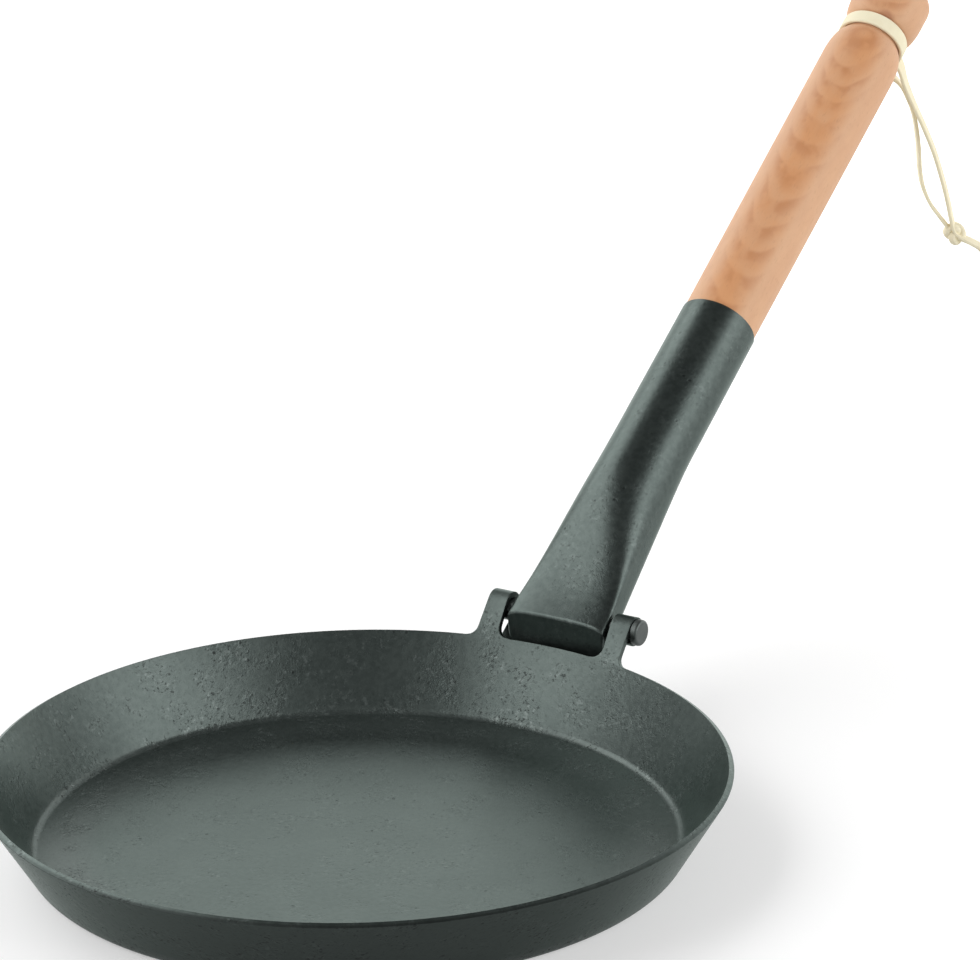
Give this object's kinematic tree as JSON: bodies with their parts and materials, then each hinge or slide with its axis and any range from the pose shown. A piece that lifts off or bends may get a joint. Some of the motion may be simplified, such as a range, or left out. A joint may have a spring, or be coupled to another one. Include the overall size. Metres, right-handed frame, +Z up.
{
  "type": "folding frying pan",
  "caption": "Round sheet-steel frying pan with a flared wall and a steel socket handle that folds over the dish on a hinge pin, with a wooden grip and a leather hanging thong.",
  "frame": {"origin": "middle of the pan's flat base, on the table", "axes": "+Z up out of the pan, +Y from the pan's middle towards the handle, X along the hinge pin"},
  "size_m": [0.24, 0.5178, 0.2113],
  "materials": {
    "dark_steel": "dark seasoned carbon steel, semi-matt, lightly pitted",
    "bare_steel": "plain dark steel, semi-matt",
    "beech": "oiled beech with fine flecks",
    "lace": "natural pale leather lace, matt"
  },
  "bodies": {
    "pan": {"pan_body": "dark_steel", "hinge_pin": "bare_steel"},
    "handle": {"handle_socket": "dark_steel", "wooden_grip": "beech", "grip_screw": "bare_steel", "thong_band": "lace", "thong_strand_right": "lace", "thong_strand_left": "lace", "thong_knot": "lace", "thong_tail_right": "lace", "thong_tail_left": "lace"}
  },
  "joints": [
    {"name": "handle_fold", "type": "hinge", "parent": "pan", "child": "handle", "pos_m": [0, 0.1278, 0.0344], "axis": [1, 0, 0], "range_deg": [0, 143.3]}
  ]
}
